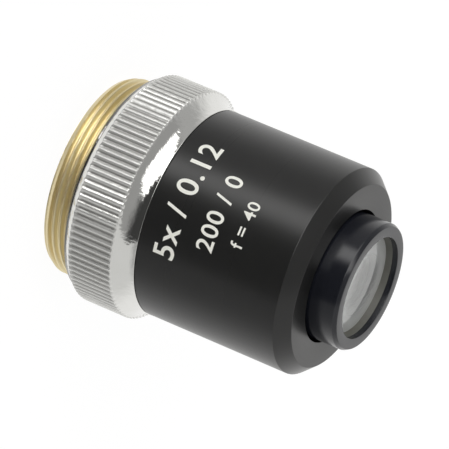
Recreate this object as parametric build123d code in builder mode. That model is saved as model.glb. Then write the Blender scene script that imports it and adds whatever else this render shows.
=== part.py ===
from build123d import *
import math
import os

# Microscope objective of low power, standing on its threaded end with its nose up.
# Millimetres. The axis is Z, the origin is the centre of the mounting shoulder, and +Z
# points at the specimen. Every piece is turned about the axis. Radii are worked out from
# the objective thread, inwards and then outwards, through walls, steps and clearances.

# Fits
slip_gap = 0.03         # radial clearance of a piece that slides into a bore
sleeve_gap = 0.05       # radial clearance of the cover sleeve and the collar on the barrel
cement_gap = 0.01       # cement between the two glasses of a doublet
glass_gap = 0.05        # radial clearance of a lens in its cell

# Objective thread: 20.32 mm across, 36 turns to the inch, left as a plain crest here
thread_radius = 10.16
thread_end = 3.07       # from the shoulder to the rear face
thread_runout = 0.48    # plain groove between the shoulder and the first turn
thread_relief = 0.56    # depth of that groove
lead_length = 0.75      # lead-in at the rear, along the axis
lead_depth = 0.43       # lead-in at the rear, across the axis
spigot_length = 3.2     # from the shoulder to the front of the mount, inside the collar
mount_wall = 1.86       # from the thread's crest to the rear light port
port_depth = 4.27       # from the rear face to the web
web_step = 0.6          # the web reaches this far inside the barrel's bore

# Inner barrel
barrel_seat = 0.73      # the spigot is wider than the barrel by this, and the collar sits on the rest
barrel_wall = 1.27
barrel_front_gap = 0.1  # the barrel stops this far short of the sleeve's front wall
nose_seat_step = 0.5
shim_thickness = 0.2
shim_margin = 0.05

# Cover sleeve
sleeve_wall = 1.598
sleeve_rear_edge = 0.1
front_chamfer_length = 1.3
front_chamfer_depth = 1.199
front_wall = 2.0
nose_hole_gap = 0.295   # visible gap round the nose

# Knurled collar
rim_step = 0.062        # the rim stands out from the sleeve by this
cone_rise = 0.9
cone_length = 1.69
cone_round = 0.45
band_length = 0.37
ridge_step = 0.21       # the ridges stand out from the smooth band by this
groove_depth = 0.34
ridge_count = 100
ridge_top = 0.40        # share of the pitch that is ridge top
groove_floor = 0.16     # share of the pitch that is groove floor
knurl_length = 4.54
rear_chamfer_depth = 0.69
rear_chamfer_length = 0.75
shoulder_land = 0.2     # short straight land behind the rear chamfer
shoulder_recess = 0.3   # undercut of the shoulder round the thread
recess_gap = 0.09

# Nose cell
tail_wall = 1.67
nose_wall = 0.549
nose_edge_length = 0.37
nose_edge_depth = 0.218
lip_step = 0.74         # the lip reaches this far inside the nose's bore
lip_thickness = 0.57
flange_thickness = 1.1
tail_length = 3.3
lock_ring_thickness = 1.1
lock_ring_inset = 0.1   # the ring lies this deep in the barrel's front end

# Pieces in the nose cell
mask_thickness = 0.625
mask_taper = 0.18
front_crown_edge = 2.2
front_crown_curve = 42.0
front_cement_curve = 28.0
front_flint_edge = 1.9
front_flint_curve = 120.0
front_seat = 0.7        # width of the seats outside the clear aperture
front_spacer_length = 2.4
second_lens_edge = 1.6
second_front_curve = -45.0
second_rear_curve = 60.0
front_ring_thickness = 1.0
front_ring_inset = 0.495

# Pieces in the barrel behind the nose cell
middle_spacer_length = 3.3
middle_spacer_wall = 1.97
baffle_count = 3
baffle_depth = 0.8
baffle_width = 0.5
stop_thickness = 0.5
stop_step = 1.3         # the stop reaches this far inside the spacer behind it
stop_edge = 0.1
stop_spacer_length = 2.3
stop_spacer_wall = 1.37
rear_cell_length = 5.8
rear_cell_wall = 1.17
rear_cell_lip = 0.7
rear_cell_lip_step = 0.8
rear_crown_edge = 1.6
rear_crown_curve = 34.0
rear_cement_curve = 26.0
rear_flint_edge = 2.0
rear_flint_curve = -90.0
rear_seat = 0.7
rear_ring_thickness = 1.0
barrel_ring_thickness = 1.1
barrel_ring_inset = 0.1
barrel_ring_wall = 1.27
slot_width = 1.0
slot_depth = 0.5

# Radii of the mount and the barrel
spigot_radius = thread_radius - thread_relief
port_radius = thread_radius - mount_wall
barrel_radius = spigot_radius - barrel_seat
barrel_bore = barrel_radius - barrel_wall
barrel_fill = barrel_bore - slip_gap
web_bore = barrel_bore - web_step
nose_seat_bore = barrel_bore + nose_seat_step
flange_radius = nose_seat_bore - sleeve_gap

# Radii of the sleeve and the collar
cover_bore = barrel_radius + sleeve_gap
sleeve_radius = cover_bore + sleeve_wall
rim_radius = sleeve_radius + rim_step
band_radius = rim_radius + cone_rise
ridge_radius = band_radius + ridge_step
groove_radius = ridge_radius - groove_depth
shoulder_radius = ridge_radius - rear_chamfer_depth
recess_radius = thread_radius + recess_gap
collar_rear_bore = spigot_radius + sleeve_gap

# Radii of the nose and what it holds
nose_bore = barrel_fill - tail_wall
nose_radius = nose_bore + nose_wall
nose_hole_radius = nose_radius + nose_hole_gap
lip_bore = nose_bore - lip_step
mask_rear_bore = lip_bore - mask_taper
nose_fill = nose_bore - slip_gap
front_glass = nose_bore - glass_gap
front_aperture = nose_bore - front_seat

# Radii of the pieces in the barrel
middle_spacer_bore = barrel_fill - middle_spacer_wall
stop_spacer_bore = barrel_fill - stop_spacer_wall
stop_radius = stop_spacer_bore - stop_step
rear_cell_bore = barrel_fill - rear_cell_wall
rear_cell_lip_bore = rear_cell_bore - rear_cell_lip_step
rear_fill = rear_cell_bore - slip_gap
rear_glass = rear_cell_bore - glass_gap
rear_aperture = rear_cell_bore - rear_seat
barrel_ring_bore = barrel_fill - barrel_ring_wall

# Heights on the axis. The collar is worked out from the shoulder, the barrel from its
# stack of pieces, and the nose from the pieces in its cell
mount_front = spigot_length
web_rear = port_depth - thread_end
knurl_rear = shoulder_land + rear_chamfer_length
knurl_front = knurl_rear + knurl_length
cone_start = knurl_front + band_length
collar_front = cone_start + cone_length

barrel_rear = mount_front + shim_thickness
barrel_ring_rear = barrel_rear + barrel_ring_inset
rear_cell_rear = barrel_ring_rear + barrel_ring_thickness
rear_cell_front = rear_cell_rear + rear_cell_length
stop_rear = rear_cell_front + stop_spacer_length
stop_front = stop_rear + stop_thickness
tail_rear = stop_front + middle_spacer_length
nose_seat = tail_rear + tail_length
flange_front = nose_seat + flange_thickness
barrel_front = flange_front + lock_ring_thickness + lock_ring_inset
sleeve_inner_front = barrel_front + barrel_front_gap
sleeve_front = sleeve_inner_front + front_wall

rear_crown_front = rear_cell_front - rear_cell_lip
rear_crown_rear = rear_crown_front - rear_crown_edge
rear_flint_front = rear_crown_rear - cement_gap
rear_flint_rear = rear_flint_front - rear_flint_edge
rear_ring_rear = rear_flint_rear - rear_ring_thickness

front_ring_rear = tail_rear + front_ring_inset
second_rear = front_ring_rear + front_ring_thickness
second_front = second_rear + second_lens_edge
front_flint_rear = second_front + front_spacer_length
front_flint_front = front_flint_rear + front_flint_edge
front_crown_rear = front_flint_front + cement_gap
front_crown_front = front_crown_rear + front_crown_edge
lip_rear = front_crown_front + mask_thickness
nose_front = lip_rear + lip_thickness

os.makedirs("parts", exist_ok=True)


def save(builder, name):
    # label a finished piece and write it under the same name
    builder.part.label = name
    export_step(builder.part, f"parts/{name}.step")


def save_turned(name, outline):
    # a piece turned from one closed outline of (radius, height) points
    with BuildPart() as piece:
        with BuildSketch(Plane.XZ):
            with BuildLine():
                Polyline(*outline, close=True)
            make_face()
        revolve(axis=Axis.Z)
    save(piece, name)


def save_tube(name, rear, front, radius, bore):
    # a plain spacer tube or washer
    save_turned(name, [(bore, rear), (radius, rear), (radius, front), (bore, front)])


def save_slotted_ring(name, rear, thickness, radius, bore, slots_on_front=False):
    # a threaded ring with two slots for the pins of a spanner in the face that is reached
    slot_floor = rear + thickness - slot_depth if slots_on_front else rear
    with BuildPart() as ring:
        with BuildSketch(Plane.XY.offset(rear)):
            Circle(radius)
            Circle(bore, mode=Mode.SUBTRACT)
        extrude(amount=thickness)
        with BuildSketch(Plane.XY.offset(slot_floor)):
            Rectangle(2 * radius + slot_width, slot_width)
            Circle(bore / 2, mode=Mode.SUBTRACT)
        extrude(amount=slot_depth, mode=Mode.SUBTRACT)
    save(ring, name)


def sagitta(curve, aperture):
    # height of a spherical surface over its aperture; a negative curve is hollow
    return math.copysign(abs(curve) - math.sqrt(curve ** 2 - aperture ** 2), curve)


def save_lens(name, edge_radius, front, rear, front_curve, rear_curve, front_open, rear_open):
    # a glass whose spherical faces end at their clear apertures, with flat ground seats outside them
    front_vertex = front + sagitta(front_curve, front_open)
    rear_vertex = rear - sagitta(rear_curve, rear_open)
    with BuildPart() as lens:
        with BuildSketch(Plane.XZ):
            with BuildLine():
                TangentArc((0, front_vertex), (front_open, front), tangent=(1, 0))
                if edge_radius > front_open:
                    Line((front_open, front), (edge_radius, front))
                Line((edge_radius, front), (edge_radius, rear))
                if edge_radius > rear_open:
                    Line((edge_radius, rear), (rear_open, rear))
                TangentArc((0, rear_vertex), (rear_open, rear), tangent=(1, 0))
                Line((0, rear_vertex), (0, front_vertex))
            make_face()
        revolve(axis=Axis.Z)
    save(lens, name)


# Threaded mount: brass ring whose spigot screws into the collar
save_turned("thread_mount", [
    (port_radius, -thread_end),
    (thread_radius - lead_depth, -thread_end),
    (thread_radius, -thread_end + lead_length),
    (thread_radius, -thread_runout),
    (spigot_radius, -thread_runout),
    (spigot_radius, mount_front),
    (web_bore, mount_front),
    (web_bore, web_rear),
    (port_radius, web_rear),
])

# Knurled collar: straight knurl cut back by the rear chamfer, smooth band and cone in front
pitch_angle = math.radians(360 / ridge_count)
groove_foot = groove_radius * pitch_angle * groove_floor / 2
groove_mouth = ridge_radius * pitch_angle * (1 - ridge_top) / 2
groove_outside = ridge_radius + groove_depth
with BuildPart() as knurled_collar:
    with BuildSketch():
        Circle(ridge_radius)
        with PolarLocations(0, ridge_count):
            Polygon(
                (groove_radius, -groove_foot),
                (ridge_radius, -groove_mouth),
                (groove_outside, -groove_mouth),
                (groove_outside, groove_mouth),
                (ridge_radius, groove_mouth),
                (groove_radius, groove_foot),
                align=None,
                mode=Mode.SUBTRACT,
            )
    extrude(amount=knurl_front)
    with BuildSketch(Plane.XZ):
        with BuildLine():
            Polyline(
                (0, 0),
                (shoulder_radius, 0),
                (shoulder_radius, shoulder_land),
                (ridge_radius, knurl_rear),
                (ridge_radius, knurl_front),
                (0, knurl_front),
                close=True,
            )
        make_face()
    revolve(axis=Axis.Z, mode=Mode.INTERSECT)
    with BuildSketch(Plane.XZ):
        with BuildLine() as cone_outline:
            Polyline(
                (cover_bore, knurl_front),
                (band_radius, knurl_front),
                (band_radius, cone_start),
                (rim_radius, collar_front),
                (cover_bore, collar_front),
                close=True,
            )
            fillet(cone_outline.vertices().group_by(Axis.Y)[1], cone_round)
        make_face()
    revolve(axis=Axis.Z)
    with BuildSketch(Plane.XZ):
        with BuildLine():
            Polyline(
                (0, 0),
                (recess_radius, 0),
                (recess_radius, shoulder_recess),
                (collar_rear_bore, shoulder_recess),
                (collar_rear_bore, mount_front),
                (cover_bore, mount_front),
                (cover_bore, collar_front),
                (0, collar_front),
                close=True,
            )
        make_face()
    revolve(axis=Axis.Z, mode=Mode.SUBTRACT)
save(knurled_collar, "knurled_collar")

# Shim that sets the parfocal distance, between the mount and the barrel
save_tube("parfocal_shim", mount_front, barrel_rear, barrel_radius - shim_margin, barrel_bore + shim_margin)

# Inner barrel, with a wider seat in front for the flange of the nose cell
save_turned("lens_barrel", [
    (barrel_bore, barrel_rear),
    (barrel_radius, barrel_rear),
    (barrel_radius, barrel_front),
    (nose_seat_bore, barrel_front),
    (nose_seat_bore, nose_seat),
    (barrel_bore, nose_seat),
])

# Cover sleeve: stands on the collar's rim and closes over the barrel in front
save_turned("outer_sleeve", [
    (cover_bore, collar_front),
    (sleeve_radius - sleeve_rear_edge, collar_front),
    (sleeve_radius, collar_front + sleeve_rear_edge),
    (sleeve_radius, sleeve_front - front_chamfer_length),
    (sleeve_radius - front_chamfer_depth, sleeve_front),
    (nose_hole_radius, sleeve_front),
    (nose_hole_radius, sleeve_inner_front),
    (cover_bore, sleeve_inner_front),
])

# Nose cell: tube with a front lip, a flange on the barrel's seat and a tail in its bore
save_turned("nose_cell", [
    (nose_bore, tail_rear),
    (barrel_fill, tail_rear),
    (barrel_fill, nose_seat),
    (flange_radius, nose_seat),
    (flange_radius, flange_front),
    (nose_radius, flange_front),
    (nose_radius, nose_front - nose_edge_length),
    (nose_radius - nose_edge_depth, nose_front),
    (lip_bore, nose_front),
    (lip_bore, lip_rear),
    (nose_bore, lip_rear),
])
save_slotted_ring("nose_lock_ring", flange_front, lock_ring_thickness,
                  flange_radius, nose_radius + sleeve_gap, slots_on_front=True)

# Tapered ring between the lip and the front glass
save_turned("front_mask_ring", [
    (mask_rear_bore, front_crown_front),
    (nose_fill, front_crown_front),
    (nose_fill, lip_rear),
    (lip_bore, lip_rear),
])

# Front doublet, second lens and what holds them in the nose cell
save_lens("front_crown_lens", front_glass, front_crown_front, front_crown_rear,
          front_crown_curve, front_cement_curve, mask_rear_bore, front_glass)
save_lens("front_flint_lens", front_glass, front_flint_front, front_flint_rear,
          -front_cement_curve, front_flint_curve, front_glass, front_aperture)
save_tube("front_spacer", second_front, front_flint_rear, nose_fill, front_aperture)
save_lens("second_lens", front_glass, second_front, second_rear,
          second_front_curve, second_rear_curve, front_aperture, front_aperture)
save_slotted_ring("front_retaining_ring", front_ring_rear, front_ring_thickness, nose_fill, front_aperture)

# Spacer with ring-shaped light traps in its bore
trap_pitch = middle_spacer_length / (baffle_count + 1)
with BuildPart() as middle_spacer:
    with BuildSketch(Plane.XY.offset(stop_front)):
        Circle(barrel_fill)
        Circle(middle_spacer_bore, mode=Mode.SUBTRACT)
    extrude(amount=middle_spacer_length)
    for trap in range(baffle_count):
        trap_middle = stop_front + (trap + 1) * trap_pitch
        with BuildSketch(Plane.XY.offset(trap_middle - baffle_width / 2)):
            Circle(middle_spacer_bore + baffle_depth)
        extrude(amount=baffle_width, mode=Mode.SUBTRACT)
save(middle_spacer, "middle_spacer")

# Aperture stop: thin disc with a bevelled hole
save_turned("aperture_stop", [
    (stop_radius + stop_thickness - stop_edge, stop_rear),
    (barrel_fill, stop_rear),
    (barrel_fill, stop_front),
    (stop_radius, stop_front),
    (stop_radius, stop_front - stop_edge),
])
save_tube("stop_spacer", rear_cell_front, stop_rear, barrel_fill, stop_spacer_bore)

# Rear cell with its doublet, and the rings that lock them
save_turned("rear_cell", [
    (rear_cell_bore, rear_cell_rear),
    (barrel_fill, rear_cell_rear),
    (barrel_fill, rear_cell_front),
    (rear_cell_lip_bore, rear_cell_front),
    (rear_cell_lip_bore, rear_crown_front),
    (rear_cell_bore, rear_crown_front),
])
save_lens("rear_crown_lens", rear_glass, rear_crown_front, rear_crown_rear,
          rear_crown_curve, rear_cement_curve, rear_cell_lip_bore, rear_glass)
save_lens("rear_flint_lens", rear_glass, rear_flint_front, rear_flint_rear,
          -rear_cement_curve, rear_flint_curve, rear_glass, rear_aperture)
save_slotted_ring("rear_cell_ring", rear_ring_rear, rear_ring_thickness, rear_fill, rear_aperture)
save_slotted_ring("barrel_retaining_ring", barrel_ring_rear, barrel_ring_thickness,
                  barrel_fill, barrel_ring_bore)
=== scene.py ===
import math

import bmesh
import bpy
import numpy as np
from mathutils import Matrix, Vector


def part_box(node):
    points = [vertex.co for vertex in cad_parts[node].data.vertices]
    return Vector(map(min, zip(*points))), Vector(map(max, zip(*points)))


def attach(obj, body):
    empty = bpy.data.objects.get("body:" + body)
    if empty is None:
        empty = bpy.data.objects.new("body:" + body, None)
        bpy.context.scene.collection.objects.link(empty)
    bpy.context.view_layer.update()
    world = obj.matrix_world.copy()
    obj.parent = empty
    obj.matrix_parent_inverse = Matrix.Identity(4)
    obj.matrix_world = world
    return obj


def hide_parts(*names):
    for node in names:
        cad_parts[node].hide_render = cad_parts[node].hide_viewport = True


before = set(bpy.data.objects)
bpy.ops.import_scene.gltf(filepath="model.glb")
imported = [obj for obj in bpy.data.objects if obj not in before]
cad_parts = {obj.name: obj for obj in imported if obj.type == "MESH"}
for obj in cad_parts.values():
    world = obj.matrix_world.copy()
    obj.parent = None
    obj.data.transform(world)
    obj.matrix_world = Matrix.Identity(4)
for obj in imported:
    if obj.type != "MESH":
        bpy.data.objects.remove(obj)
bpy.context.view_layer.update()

# Lengths below are in millimetres, and meshes are made in metres.
MM = 0.001
BODY = "root"


def node_span(node):
    # lowest height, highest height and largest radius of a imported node, in millimetres
    low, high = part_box(node)
    return low.z / MM, high.z / MM, max(high.x, high.y) / MM


MOUNT_REAR, MOUNT_FRONT, THREAD_RADIUS = node_span("thread_mount")
COLLAR_REAR, COLLAR_FRONT, RIDGE_RADIUS = node_span("knurled_collar")
SLEEVE_REAR, SLEEVE_FRONT, SLEEVE_RADIUS = node_span("outer_sleeve")
CELL_REAR, NOSE_FRONT, FLANGE_RADIUS = node_span("nose_cell")
MASK_REAR, MASK_FRONT, MASK_RADIUS = node_span("front_mask_ring")

# Camera of the photograph
AXIS_TILT = math.radians(22.325)      # the nose leans this far towards the camera
AXIS_SLOPE = math.radians(22.865)     # and points this far below the horizontal of the picture
CAMERA_DISTANCE = 537.7
CAMERA_LENS = 456.4
SENSOR = 36.0
NOSE_RIGHT = 13.766                   # the nose lies right of and below the middle of the picture
NOSE_BELOW = 6.016

# Directions of the picture in the object's frame
RIGHT = Vector((-math.sin(AXIS_SLOPE), math.cos(AXIS_SLOPE) * math.sin(AXIS_TILT),
                math.cos(AXIS_SLOPE) * math.cos(AXIS_TILT)))
DOWN = Vector((math.cos(AXIS_SLOPE), math.sin(AXIS_SLOPE) * math.sin(AXIS_TILT),
               math.sin(AXIS_SLOPE) * math.cos(AXIS_TILT)))
TOWARDS = Vector((0, -math.cos(AXIS_TILT), math.sin(AXIS_TILT)))


def make_camera():
    data = bpy.data.cameras.new("camera")
    data.lens = CAMERA_LENS
    data.sensor_fit = "HORIZONTAL"
    data.sensor_width = SENSOR
    data.clip_start = 0.01
    camera = bpy.data.objects.new("camera", data)
    bpy.context.scene.collection.objects.link(camera)
    turn = Matrix((RIGHT, -DOWN, TOWARDS)).transposed()
    nose = Vector((0, 0, NOSE_FRONT))
    place = nose - NOSE_RIGHT * RIGHT - NOSE_BELOW * DOWN + CAMERA_DISTANCE * TOWARDS
    camera.matrix_world = Matrix.Translation(place * MM) @ turn.to_4x4()
    bpy.context.scene.camera = camera


# Shader nodes

def add_node(tree, kind, settings=None, **inputs):
    # a node with its settings, whose named or numbered inputs are values or sockets
    node = tree.nodes.new(kind)
    for name, value in (settings or {}).items():
        setattr(node, name, value)
    for name, value in inputs.items():
        socket = node.inputs[int(name[1:])] if name[1:].isdigit() else node.inputs[name.replace("_", " ")]
        if isinstance(value, bpy.types.NodeSocket):
            tree.links.new(value, socket)
        else:
            socket.default_value = value
    return node


def math_node(tree, operation, first, second=0.0, third=0.0):
    settings = {"operation": operation}
    return add_node(tree, "ShaderNodeMath", settings, _0=first, _1=second, _2=third).outputs[0]


def smooth_step(tree, value, low, high, start=0.0, end=1.0):
    # start below low, end above high, smooth between
    settings = {"interpolation_type": "SMOOTHSTEP"}
    return add_node(tree, "ShaderNodeMapRange", settings, Value=value, From_Min=low, From_Max=high,
                    To_Min=start, To_Max=end).outputs[0]


def fade(tree, value, span, start=0.0, end=1.0):
    # smooth_step between two lengths in millimetres
    return smooth_step(tree, value, span[0] * MM, span[1] * MM, start, end)


def blend_values(tree, factor, first, second):
    settings = {"data_type": "FLOAT"}
    return add_node(tree, "ShaderNodeMix", settings, _0=factor, _2=first, _3=second).outputs[0]


def blend_colours(tree, factor, first, second):
    settings = {"data_type": "RGBA"}
    return add_node(tree, "ShaderNodeMix", settings, _0=factor, _6=first, _7=second).outputs[2]


def new_material(name):
    material = bpy.data.materials.new(name)
    material.use_nodes = True
    tree = material.node_tree
    return material, tree, tree.nodes["Principled BSDF"]


def position(tree):
    return add_node(tree, "ShaderNodeTexCoord").outputs["Object"]


def noise(tree, scale, detail=3.0, where=None):
    # scale is in waves to the millimetre
    return add_node(tree, "ShaderNodeTexNoise", Vector=where or position(tree), Scale=scale / MM,
                    Detail=detail).outputs["Fac"]


def along_axis(tree):
    # height on the optical axis
    return add_node(tree, "ShaderNodeSeparateXYZ", Vector=position(tree)).outputs[2]


def off_axis(tree):
    # distance from the optical axis
    parts = add_node(tree, "ShaderNodeSeparateXYZ", Vector=position(tree)).outputs
    square = math_node(tree, "MULTIPLY", parts[0], parts[0])
    square = math_node(tree, "MULTIPLY_ADD", parts[1], parts[1], square)
    return math_node(tree, "SQRT", square)


def turning_marks(tree, scale):
    # fine rings left by the lathe: they vary along the axis and across a face, never round it
    where = math_node(tree, "ADD", along_axis(tree), off_axis(tree))
    return add_node(tree, "ShaderNodeTexNoise", {"noise_dimensions": "1D"}, W=where, Scale=scale / MM,
                    Detail=2.0).outputs["Fac"]


def add_bump(tree, shader, height, strength, distance):
    bump = add_node(tree, "ShaderNodeBump", Height=height, Strength=strength, Distance=distance * MM)
    tree.links.new(bump.outputs["Normal"], shader.inputs["Normal"])


def black_satin():
    material, tree, shader = new_material("black_satin")
    mottle = noise(tree, 0.5)
    colour = blend_colours(tree, mottle, (0.0105, 0.0105, 0.0105, 1), (0.0145, 0.0145, 0.014, 1))
    tree.links.new(colour, shader.inputs["Base Color"])
    rough = blend_values(tree, turning_marks(tree, 6.0), 0.26, 0.32)
    tree.links.new(rough, shader.inputs["Roughness"])
    add_bump(tree, shader, noise(tree, 14.0), 0.25, 0.004)
    return material


def black_gloss():
    material, tree, shader = new_material("black_gloss")
    colour = blend_colours(tree, noise(tree, 0.4), (0.008, 0.009, 0.013, 1), (0.011, 0.012, 0.017, 1))
    tree.links.new(colour, shader.inputs["Base Color"])
    rough = blend_values(tree, turning_marks(tree, 5.0), 0.17, 0.23)
    tree.links.new(rough, shader.inputs["Roughness"])
    add_bump(tree, shader, noise(tree, 10.0), 0.12, 0.003)
    return material


def black_matt():
    material, tree, shader = new_material("black_matt")
    colour = blend_colours(tree, noise(tree, 1.0), (0.012, 0.012, 0.012, 1), (0.022, 0.022, 0.02, 1))
    tree.links.new(colour, shader.inputs["Base Color"])
    rough = blend_values(tree, turning_marks(tree, 4.0), 0.55, 0.7)
    tree.links.new(rough, shader.inputs["Roughness"])
    add_bump(tree, shader, noise(tree, 12.0), 0.3, 0.01)
    return material


def olive_grey():
    material, tree, shader = new_material("olive_grey")
    colour = blend_colours(tree, noise(tree, 1.0), (0.10, 0.10, 0.085, 1), (0.13, 0.13, 0.115, 1))
    tree.links.new(colour, shader.inputs["Base Color"])
    rough = blend_values(tree, turning_marks(tree, 5.0), 0.45, 0.6)
    tree.links.new(rough, shader.inputs["Roughness"])
    add_bump(tree, shader, noise(tree, 12.0), 0.2, 0.006)
    return material


# Where the chrome changes, in millimetres: heights, but radii for how deep the grooves run; the grooves and
# the foot beside the thread get painted shade
SHADED_FOOT_SPAN = (0.05, 0.4)
POLISHED_LAND = (0.7, 1.0)
GROOVE_START = (1.0, 1.3)
GROOVE_END = (5.24, 5.44)
GROOVE_RADII = (11.56, 11.63)
# how far the painted shade darkens the colour in the grooves and on the foot
GROOVE_SHADE_STRENGTH = 0.62
FOOT_SHADE_STRENGTH = 0.75


def chrome():
    # the ridges are satin, the neck and the land behind the ridges are polished
    material, tree, shader = new_material("chrome")
    along = along_axis(tree)
    # painted shade: the colour darkens in the grooves of the knurl and on the foot beside the thread, where
    # shade falls
    groove_shade = fade(tree, off_axis(tree), GROOVE_RADII, GROOVE_SHADE_STRENGTH, 0.0)
    groove_shade = math_node(tree, "MULTIPLY", groove_shade, fade(tree, along, GROOVE_START))
    groove_shade = math_node(tree, "MULTIPLY", groove_shade, fade(tree, along, GROOVE_END, 1.0, 0.0))
    painted_shade = math_node(tree, "MAXIMUM", groove_shade, fade(tree, along, SHADED_FOOT_SPAN, FOOT_SHADE_STRENGTH, 0.0))
    colour = blend_colours(tree, noise(tree, 0.35), (0.73, 0.73, 0.705, 1), (0.79, 0.79, 0.77, 1))
    # the colour is blended towards dark grey there as painted shade
    colour = blend_colours(tree, painted_shade, colour, (0.16, 0.155, 0.145, 1))
    tree.links.new(colour, shader.inputs["Base Color"])
    polished = math_node(tree, "MAXIMUM", fade(tree, along, (KNURL_FRONT, NECK_REAR)),
                         fade(tree, along, POLISHED_LAND, 1.0, 0.0))
    tree.links.new(blend_values(tree, polished, 0.6, 1.0), shader.inputs["Metallic"])
    rough = blend_values(tree, polished, 0.2, 0.075)
    rough = math_node(tree, "MULTIPLY_ADD", turning_marks(tree, 5.0), 0.05, rough)
    tree.links.new(rough, shader.inputs["Roughness"])
    waves = math_node(tree, "MULTIPLY_ADD", noise(tree, 1.8, detail=2.0), 0.5, noise(tree, 0.9, detail=2.5))
    add_bump(tree, shader, waves, 0.6, 0.05)
    return material


def brass():
    material, tree, shader = new_material("brass")
    shader.inputs["Metallic"].default_value = 1.0
    colour = blend_colours(tree, turning_marks(tree, 3.0), (0.73, 0.60, 0.33, 1), (0.97, 0.885, 0.61, 1))
    tree.links.new(colour, shader.inputs["Base Color"])
    rough = blend_values(tree, turning_marks(tree, 6.0), 0.38, 0.48)
    tree.links.new(rough, shader.inputs["Roughness"])
    add_bump(tree, shader, noise(tree, 6.0), 0.1, 0.004)
    return material


# Light from the ground edge veils the glass towards its rim
VEIL_RADII = (1.8, 4.2)
VEIL = 0.3


def glass():
    material, tree, shader = new_material("glass")
    rim = fade(tree, off_axis(tree), VEIL_RADII, 0.0, -VEIL)
    clear = math_node(tree, "ADD", blend_values(tree, noise(tree, 0.4), 0.84, 0.88), rim)
    tree.links.new(clear, shader.inputs["Transmission Weight"])
    shader.inputs["IOR"].default_value = 1.52
    shader.inputs["Base Color"].default_value = (0.97, 0.985, 0.975, 1)
    rough = blend_values(tree, noise(tree, 0.3), 0.0, 0.015)
    tree.links.new(rough, shader.inputs["Roughness"])
    return material


def ground_glass():
    material, tree, shader = new_material("ground_glass")
    colour = blend_colours(tree, noise(tree, 1.0), (0.86, 0.87, 0.85, 1), (0.92, 0.93, 0.91, 1))
    tree.links.new(colour, shader.inputs["Base Color"])
    rough = blend_values(tree, noise(tree, 6.0), 0.5, 0.65)
    tree.links.new(rough, shader.inputs["Roughness"])
    return material


def spacer_grey():
    material, tree, shader = new_material("spacer_grey")
    colour = blend_colours(tree, noise(tree, 1.0), (0.46, 0.46, 0.45, 1), (0.54, 0.54, 0.53, 1))
    tree.links.new(colour, shader.inputs["Base Color"])
    rough = blend_values(tree, turning_marks(tree, 4.0), 0.45, 0.6)
    tree.links.new(rough, shader.inputs["Roughness"])
    return material


def white_paint():
    material, tree, shader = new_material("white_paint")
    colour = blend_colours(tree, noise(tree, 2.0), (0.80, 0.80, 0.74, 1), (0.88, 0.88, 0.82, 1))
    tree.links.new(colour, shader.inputs["Base Color"])
    rough = blend_values(tree, noise(tree, 8.0), 0.45, 0.6)
    tree.links.new(rough, shader.inputs["Roughness"])
    return material


# Turned meshes

ARC_STEPS = 6


def rounded(outline):
    # a closed outline of (radius, height), where a third number rounds the corner to that radius
    result = []
    count = len(outline)
    for i, point in enumerate(outline):
        corner = np.array(point[:2], float)
        if len(point) == 2:
            result.append(tuple(corner))
            continue
        before = np.array(outline[i - 1][:2], float) - corner
        after = np.array(outline[(i + 1) % count][:2], float) - corner
        before /= np.linalg.norm(before)
        after /= np.linalg.norm(after)
        half = math.acos(float(np.clip(before @ after, -1, 1))) / 2
        middle = before + after
        centre = corner + middle / np.linalg.norm(middle) * point[2] / math.sin(half)
        start = corner + before * point[2] / math.tan(half) - centre
        end = corner + after * point[2] / math.tan(half) - centre
        sweep = math.pi - 2 * half
        for step in range(ARC_STEPS + 1):
            share = step / ARC_STEPS * sweep
            mix = start * math.sin(sweep - share) + end * math.sin(share)
            result.append(tuple(centre + mix / math.sin(sweep)))
    return result


def lathe(name, outline, steps, form=None):
    # turns a closed outline about the axis; form(angle, radius, height) may reshape it
    rows = np.array(outline, float)
    angles = np.linspace(0, 2 * math.pi, steps, endpoint=False)
    turn, radius = np.meshgrid(angles, rows[:, 0], indexing="ij")
    height = np.broadcast_to(rows[:, 1], radius.shape)
    if form:
        radius = form(turn, radius, height)
    points = np.stack([radius * np.cos(turn), radius * np.sin(turn), height], axis=-1).reshape(-1, 3) * MM
    count = len(rows)
    here = np.arange(steps)[:, None] * count
    there = (np.arange(steps)[:, None] + 1) % steps * count
    row = np.arange(count)
    following = (row + 1) % count
    faces = np.stack([here + row, there + row, there + following, here + following], axis=-1).reshape(-1, 4)
    mesh = bpy.data.meshes.new(name)
    mesh.from_pydata(points.tolist(), [], faces.tolist())
    clean = bmesh.new()
    clean.from_mesh(mesh)
    bmesh.ops.remove_doubles(clean, verts=clean.verts, dist=1e-8)
    bmesh.ops.recalc_face_normals(clean, faces=clean.faces)
    clean.to_mesh(mesh)
    clean.free()
    mesh.shade_smooth()
    mesh.set_sharp_from_angle(angle=math.radians(32))
    piece = bpy.data.objects.new(name, mesh)
    bpy.context.scene.collection.objects.link(piece)
    normals = piece.modifiers.new("normals", "WEIGHTED_NORMAL")
    normals.keep_sharp = True
    return piece


def dress(piece, material, slot, *nodes):
    piece.data.materials.append(material)
    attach(piece, BODY)
    if nodes:
        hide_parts(*nodes)
    return piece


# Objective thread
THREAD_PITCH = 25.4 / 36
THREAD_DEPTH = 0.64 * THREAD_PITCH
THREAD_ANGLE = math.radians(27.5)
THREAD_RUNOUT = 0.48
THREAD_SOFTNESS = 0.06
LEAD_LENGTH = 0.75
LEAD_DEPTH = 0.43
SPIGOT_RADIUS = 9.60
PORT_RADIUS = 8.3
WEB_REAR = 1.2
WEB_BORE = 7.0
THREAD_ROWS = 110
THREAD_STEPS = 360


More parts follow.
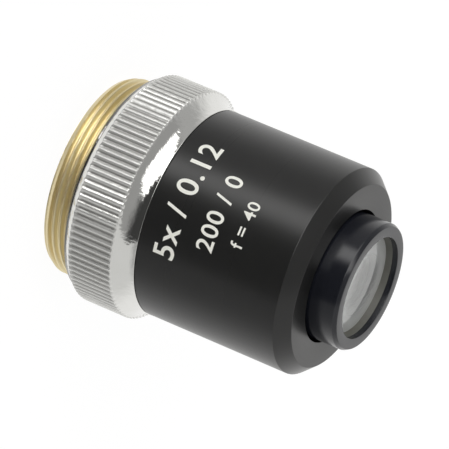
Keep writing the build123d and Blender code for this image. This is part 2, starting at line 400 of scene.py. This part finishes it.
def thread_form(angle, radius, height):
    # round-topped 55 degree turns, cut from the crest cylinder
    phase = (height / THREAD_PITCH - angle / (2 * math.pi)) % 1.0
    from_crest = np.abs(phase - 0.5) * THREAD_PITCH
    sharp = from_crest / math.tan(THREAD_ANGLE)
    full = THREAD_PITCH / 2 / math.tan(THREAD_ANGLE)
    cut = (full - THREAD_DEPTH) / 2
    soft = THREAD_SOFTNESS
    low = np.maximum(sharp - cut, 0)
    depth = THREAD_DEPTH - np.logaddexp(0, (THREAD_DEPTH - low) / soft) * soft
    depth = np.logaddexp(0, depth / soft) * soft
    turned = THREAD_RADIUS - depth
    threaded = (height < -THREAD_RUNOUT + 0.001) & (radius > SPIGOT_RADIUS)
    return np.where(threaded, np.minimum(radius, turned), radius)


def make_thread_mount():
    crest_end = MOUNT_REAR + LEAD_LENGTH
    outline = [
        (WEB_BORE, MOUNT_FRONT, 0.1),
        (WEB_BORE, WEB_REAR, 0.1),
        (PORT_RADIUS, WEB_REAR),
        (PORT_RADIUS, MOUNT_REAR, 0.12),
        (THREAD_RADIUS - LEAD_DEPTH, MOUNT_REAR, 0.05),
    ]
    for height in np.linspace(MOUNT_REAR + 0.1, -THREAD_RUNOUT, THREAD_ROWS):
        lead = max(0.0, crest_end - height) / LEAD_LENGTH * LEAD_DEPTH
        outline.append((THREAD_RADIUS - lead, height))
    outline += [
        (SPIGOT_RADIUS, -THREAD_RUNOUT),
        (SPIGOT_RADIUS, MOUNT_FRONT),
    ]
    return lathe("threaded_mount", rounded(outline), THREAD_STEPS, thread_form)


# Knurled collar
RIDGE_COUNT = 105
RIDGE_SAMPLES = 12
GROOVE_DEPTH = 0.14
NECK_RADIUS = 11.44
NECK_REAR = 5.60
NECK_FRONT = 7.50
RIM_RADIUS = 10.58
SHOULDER_RADIUS = 11.0
SHOULDER_LAND = 0.2
KNURL_REAR = 0.95
KNURL_FRONT = 5.49
RECESS_RADIUS = 10.25
RECESS_DEPTH = 0.3
COLLAR_REAR_BORE = 9.65
COLLAR_FRONT_BORE = 8.92


def neck():
    # concave arc from the front of the knurl, which meets the straight rim behind the sleeve
    length = NECK_FRONT - NECK_REAR
    rise = NECK_RADIUS - RIM_RADIUS
    curve = (length ** 2 + rise ** 2) / (2 * rise)
    steepest = math.asin(length / curve)
    return [(RIM_RADIUS + curve * (1 - math.cos(tilt)), NECK_FRONT - curve * math.sin(tilt))
            for tilt in np.linspace(steepest, 0, 20)]


def knurl_form(angle, radius, height):
    # straight ridges with rounded tops between shallow rounded grooves
    ridged = RIDGE_RADIUS - GROOVE_DEPTH * (0.5 + 0.5 * np.cos(angle * RIDGE_COUNT))
    knurled = (height > SHOULDER_LAND) & (height < NECK_REAR - 0.001) & (radius > RECESS_RADIUS)
    return np.where(knurled, np.minimum(radius, ridged), radius)


def make_collar():
    outline = [
        (COLLAR_REAR_BORE, RECESS_DEPTH),
        (RECESS_RADIUS, RECESS_DEPTH),
        (RECESS_RADIUS, COLLAR_REAR, 0.04),
        (SHOULDER_RADIUS, COLLAR_REAR, 0.05),
        (SHOULDER_RADIUS, SHOULDER_LAND, 0.06),
    ]
    for share in np.linspace(0.1, 0.9, 16):
        outline.append((SHOULDER_RADIUS + share * (RIDGE_RADIUS - SHOULDER_RADIUS),
                        SHOULDER_LAND + share * (KNURL_REAR - SHOULDER_LAND)))
    outline += [
        (RIDGE_RADIUS, KNURL_REAR, 0.05),
        (RIDGE_RADIUS, KNURL_FRONT, 0.05),
    ]
    outline += neck()
    outline += [
        (RIM_RADIUS, COLLAR_FRONT, 0.04),
        (COLLAR_FRONT_BORE, COLLAR_FRONT),
        (COLLAR_FRONT_BORE, MOUNT_FRONT),
        (COLLAR_REAR_BORE, MOUNT_FRONT),
    ]
    return lathe("chrome_collar", rounded(outline), RIDGE_COUNT * RIDGE_SAMPLES, knurl_form)


# Cover sleeve
SLEEVE_EDGE = 0.1
CHAMFER_LENGTH = 1.3
CHAMFER_DEPTH = 1.199
FRONT_WALL = 2.0
NOSE_HOLE_RADIUS = 6.744
SLEEVE_STEPS = 256


def make_sleeve():
    outline = rounded([
        (COLLAR_FRONT_BORE, SLEEVE_REAR),
        (SLEEVE_RADIUS - SLEEVE_EDGE, SLEEVE_REAR),
        (SLEEVE_RADIUS, SLEEVE_REAR + SLEEVE_EDGE, 0.04),
        (SLEEVE_RADIUS, SLEEVE_FRONT - CHAMFER_LENGTH, 0.12),
        (SLEEVE_RADIUS - CHAMFER_DEPTH, SLEEVE_FRONT, 0.12),
        (NOSE_HOLE_RADIUS, SLEEVE_FRONT, 0.06),
        (NOSE_HOLE_RADIUS, SLEEVE_FRONT - FRONT_WALL),
        (COLLAR_FRONT_BORE, SLEEVE_FRONT - FRONT_WALL),
    ])
    return lathe("cover_sleeve", outline, SLEEVE_STEPS)


# Nose
NOSE_RADIUS = 6.449
NOSE_EDGE_LENGTH = 0.37
NOSE_EDGE_DEPTH = 0.218
LIP_BORE = 5.16
NOSE_BORE = 5.9
BARREL_FILL = 7.57
NOSE_SEAT = 19.8
FLANGE_FRONT = 20.9
MASK_BORE = 4.98


def make_nose():
    outline = rounded([
        (NOSE_BORE, CELL_REAR),
        (BARREL_FILL, CELL_REAR),
        (BARREL_FILL, NOSE_SEAT),
        (FLANGE_RADIUS, NOSE_SEAT),
        (FLANGE_RADIUS, FLANGE_FRONT),
        (NOSE_RADIUS, FLANGE_FRONT),
        (NOSE_RADIUS, NOSE_FRONT - NOSE_EDGE_LENGTH, 0.15),
        (NOSE_RADIUS - NOSE_EDGE_DEPTH, NOSE_FRONT, 0.08),
        (LIP_BORE, NOSE_FRONT, 0.05),
        (LIP_BORE, MASK_FRONT),
        (NOSE_BORE, MASK_FRONT),
    ])
    return lathe("nose", outline, SLEEVE_STEPS)


def make_mask():
    outline = rounded([
        (MASK_BORE, MASK_REAR),
        (MASK_RADIUS, MASK_REAR),
        (MASK_RADIUS, MASK_FRONT),
        (LIP_BORE, MASK_FRONT, 0.03),
    ])
    return lathe("tapered_ring", outline, SLEEVE_STEPS)


# Lenses: node, edge radius, front seat, rear seat, and each face's curve and clear aperture
FRONT_GLASS = 5.85
REAR_GLASS = 6.35
FRONT_APERTURE = 5.2
LENSES = [
    ("front_crown_lens", FRONT_GLASS, 26.105, 23.905, 42.0, MASK_BORE, 28.0, FRONT_GLASS),
    ("front_flint_lens", FRONT_GLASS, 23.895, 21.995, -28.0, FRONT_GLASS, 120.0, FRONT_APERTURE),
    ("second_lens", FRONT_GLASS, 19.595, 17.995, -45.0, FRONT_APERTURE, 60.0, FRONT_APERTURE),
    ("rear_crown_lens", REAR_GLASS, 9.7, 8.1, 34.0, 5.6, 26.0, REAR_GLASS),
    ("rear_flint_lens", REAR_GLASS, 8.09, 6.09, -26.0, REAR_GLASS, -90.0, 5.7),
]
LENS_ROWS = 24
LENS_STEPS = 160


def dome(curve, aperture, seat, sign):
    # points of a spherical face from its seat to the axis; sign is +1 on the front face
    deep = math.copysign(abs(curve) - math.sqrt(curve ** 2 - aperture ** 2), curve)
    points = []
    for radius in np.linspace(aperture, 0.0, LENS_ROWS):
        fall = math.copysign(abs(curve) - math.sqrt(curve ** 2 - radius ** 2), curve)
        points.append((radius, seat + sign * (deep - fall)))
    return points


def make_lens(node, edge, front, rear, front_curve, front_open, rear_curve, rear_open):
    outline = dome(rear_curve, rear_open, rear, -1)[::-1]
    if rear_open < edge:
        outline.append((edge, rear))
    if front_open < edge:
        outline.append((edge, front))
    outline += dome(front_curve, front_open, front, 1)
    return lathe(node + "_glass", outline, LENS_STEPS)


def grind_edge(piece, edge, material):
    # the cylindrical edge of a lens is ground and grey
    piece.data.materials.append(material)
    for face in piece.data.polygons:
        if math.hypot(face.center.x, face.center.y) > edge * 0.998 * MM:
            face.material_index = 1


# Markings: generic figures, wrapped on the sleeve with their tops towards the thread
MARKS = [
    ("mark_large", "5x / 0.12", 9.22, 11.44, -5.5),
    ("mark_medium", "200 / 0", 13.34, 15.11, -5.5),
    ("mark_small", "f = 40", 16.62, 17.88, -5.0),
]
MARK_PROUD = 0.006
MARK_WEIGHT = 0.012
MARK_SPACING = 1.1


def make_mark(name, text, top, base, middle):
    # top and base are heights on the sleeve, middle is the angle from the camera side
    curve = bpy.data.curves.new(name + "_curve", "FONT")
    curve.body = text
    curve.align_x = "CENTER"
    curve.space_character = MARK_SPACING
    curve.offset = MARK_WEIGHT
    source = bpy.data.objects.new(name + "_curve", curve)
    bpy.context.scene.collection.objects.link(source)
    bpy.context.view_layer.update()
    mesh = bpy.data.meshes.new_from_object(source.evaluated_get(bpy.context.evaluated_depsgraph_get()))
    bpy.data.objects.remove(source)
    tall = max(v.co.y for v in mesh.vertices if v.co.y < 1)
    scale = (base - top) / tall
    shape = bmesh.new()
    shape.from_mesh(mesh)
    reach = max(abs(v.co.x) for v in shape.verts)
    cut_width = 0.3 / scale
    for step in range(-int(reach / cut_width), int(reach / cut_width) + 1):
        geometry = shape.verts[:] + shape.edges[:] + shape.faces[:]
        bmesh.ops.bisect_plane(shape, geom=geometry, plane_co=(step * cut_width, 0, 0), plane_no=(1, 0, 0))
    radius = SLEEVE_RADIUS + MARK_PROUD
    for vert in shape.verts:
        angle = math.radians(middle) - vert.co.x * scale / radius
        height = base - vert.co.y * scale
        vert.co = Vector((radius * math.sin(angle), -radius * math.cos(angle), height)) * MM
    bmesh.ops.remove_doubles(shape, verts=shape.verts, dist=1e-7)
    shape.to_mesh(mesh)
    shape.free()
    mesh.name = name
    piece = bpy.data.objects.new(name, mesh)
    bpy.context.scene.collection.objects.link(piece)
    return piece


# Studio: brightness of what surrounds the object
BACK_LEVEL = 0.95
CEILING_LEVEL = 0.45
TABLE_LEVEL = 0.72
TABLE_LEFT_LEVEL = 0.40
TABLE_EDGE = -48.0
DARK_LEFT = 0.05
DARK_RIGHT = 0.36
LAMP_LOW = 2.0
LAMP_HIGH = 65.0
LAMP_LEFT = -0.21
LAMP_SLANT = -0.005      # the left end slants, per degree of lift
LAMP_RIGHT = 0.46
LAMP_LEVEL = 3.0


def make_floor():
    # white where the camera looks, with the object's shadow kept faint; metal sees the studio instead
    size = 3.0
    mesh = bpy.data.meshes.new("floor")
    low = MOUNT_REAR * MM
    corners = [(-size, -size, low), (size, -size, low), (size, size, low), (-size, size, low)]
    mesh.from_pydata(corners, [], [(0, 1, 2, 3)])
    floor = bpy.data.objects.new("floor", mesh)
    bpy.context.scene.collection.objects.link(floor)
    material, tree, shader = new_material("floor")
    shader.inputs["Base Color"].default_value = (0.9, 0.9, 0.9, 1)
    shader.inputs["Roughness"].default_value = 0.9
    path = add_node(tree, "ShaderNodeLightPath").outputs
    seen = math_node(tree, "MAXIMUM", path["Is Camera Ray"],
                     math_node(tree, "MAXIMUM", path["Is Glossy Ray"], path["Is Transmission Ray"]))
    glow = add_node(tree, "ShaderNodeEmission", Color=(1, 1, 1, 1), Strength=1.06)
    mixed = add_node(tree, "ShaderNodeMixShader", _0=math_node(tree, "MULTIPLY", seen, 0.88),
                     _1=shader.outputs[0], _2=glow.outputs[0])
    tree.links.new(mixed.outputs[0], tree.nodes["Material Output"].inputs["Surface"])
    mesh.materials.append(material)
    floor.visible_glossy = False


def dot_with(tree, direction, fixed):
    return add_node(tree, "ShaderNodeVectorMath", {"operation": "DOT_PRODUCT"}, _0=direction,
                    _1=tuple(fixed)).outputs["Value"]


def make_studio():
    # a tent over a white table, with a large soft light above the camera and dark gaps round it;
    # lift is the angle above the camera's direction, and right runs from -1 to 1 across the picture
    world = bpy.data.worlds.new("studio")
    bpy.context.scene.world = world
    world.use_nodes = True
    tree = world.node_tree
    direction = add_node(tree, "ShaderNodeTexCoord").outputs["Generated"]
    front = dot_with(tree, direction, TOWARDS)
    up = dot_with(tree, direction, -DOWN)
    right = dot_with(tree, direction, RIGHT)
    lift = math_node(tree, "MULTIPLY", math_node(tree, "ARCTAN2", up, front), 180 / math.pi)
    table = smooth_step(tree, right, -0.85, -0.5, TABLE_LEFT_LEVEL, TABLE_LEVEL)
    level = blend_values(tree, smooth_step(tree, up, -0.5, 0.3), table, CEILING_LEVEL)
    dark = math_node(tree, "MULTIPLY", smooth_step(tree, lift, TABLE_EDGE - 3, TABLE_EDGE + 3),
                     smooth_step(tree, lift, 64.0, 80.0, 1.0, 0.0))
    level = blend_values(tree, dark, level, smooth_step(tree, right, -0.4, 0.2, DARK_LEFT, DARK_RIGHT))
    level = blend_values(tree, smooth_step(tree, right, -0.98, -0.86, 1.0, 0.0), level, BACK_LEVEL)
    level = blend_values(tree, smooth_step(tree, front, -0.7, -0.1, 1.0, 0.0), level, BACK_LEVEL)
    lamp = math_node(tree, "MULTIPLY", smooth_step(tree, lift, LAMP_LOW - 4, LAMP_LOW + 4),
                     smooth_step(tree, lift, LAMP_HIGH - 4, LAMP_HIGH + 4, 1.0, 0.0))
    left_end = math_node(tree, "MULTIPLY_ADD", lift, LAMP_SLANT, LAMP_LEFT)
    from_left = math_node(tree, "SUBTRACT", right, left_end)
    lamp = math_node(tree, "MULTIPLY", lamp, smooth_step(tree, from_left, -0.08, 0.08))
    lamp = math_node(tree, "MULTIPLY", lamp,
                     smooth_step(tree, right, LAMP_RIGHT - 0.06, LAMP_RIGHT + 0.1, 1.0, 0.0))
    level = blend_values(tree, lamp, level, LAMP_LEVEL)
    camera_ray = add_node(tree, "ShaderNodeLightPath").outputs["Is Camera Ray"]
    level = blend_values(tree, camera_ray, level, 1.0)
    background = tree.nodes["Background"]
    background.inputs["Color"].default_value = (1.0, 0.995, 0.985, 1)
    tree.links.new(level, background.inputs["Strength"])


def main():
    make_camera()
    looks = {make.__name__: make() for make in (black_satin, black_gloss, black_matt, olive_grey, chrome,
                                                brass, glass, ground_glass, spacer_grey, white_paint)}
    dress(make_thread_mount(), looks["brass"], "brass", "thread_mount")
    dress(make_collar(), looks["chrome"], "chrome", "knurled_collar")
    dress(make_sleeve(), looks["black_satin"], "black_satin", "outer_sleeve")
    dress(make_nose(), looks["black_gloss"], "black_gloss", "nose_cell")
    dress(make_mask(), looks["olive_grey"], "olive_grey", "front_mask_ring")
    for lens in LENSES:
        piece = dress(make_lens(*lens), looks["glass"], "glass", lens[0])
        grind_edge(piece, lens[1], looks["ground_glass"])
    for mark in MARKS:
        dress(make_mark(*mark), looks["white_paint"], "black_satin")
    grey = ("front_spacer", "front_retaining_ring")
    for name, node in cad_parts.items():
        if node.hide_render:
            continue
        look = looks["brass"] if name == "parfocal_shim" else looks["black_matt"]
        if name in grey:
            look = looks["spacer_grey"]
        node.data.materials.clear()
        node.data.materials.append(look)
    make_studio()
    make_floor()
    bpy.context.scene.view_settings.view_transform = "Standard"


main()
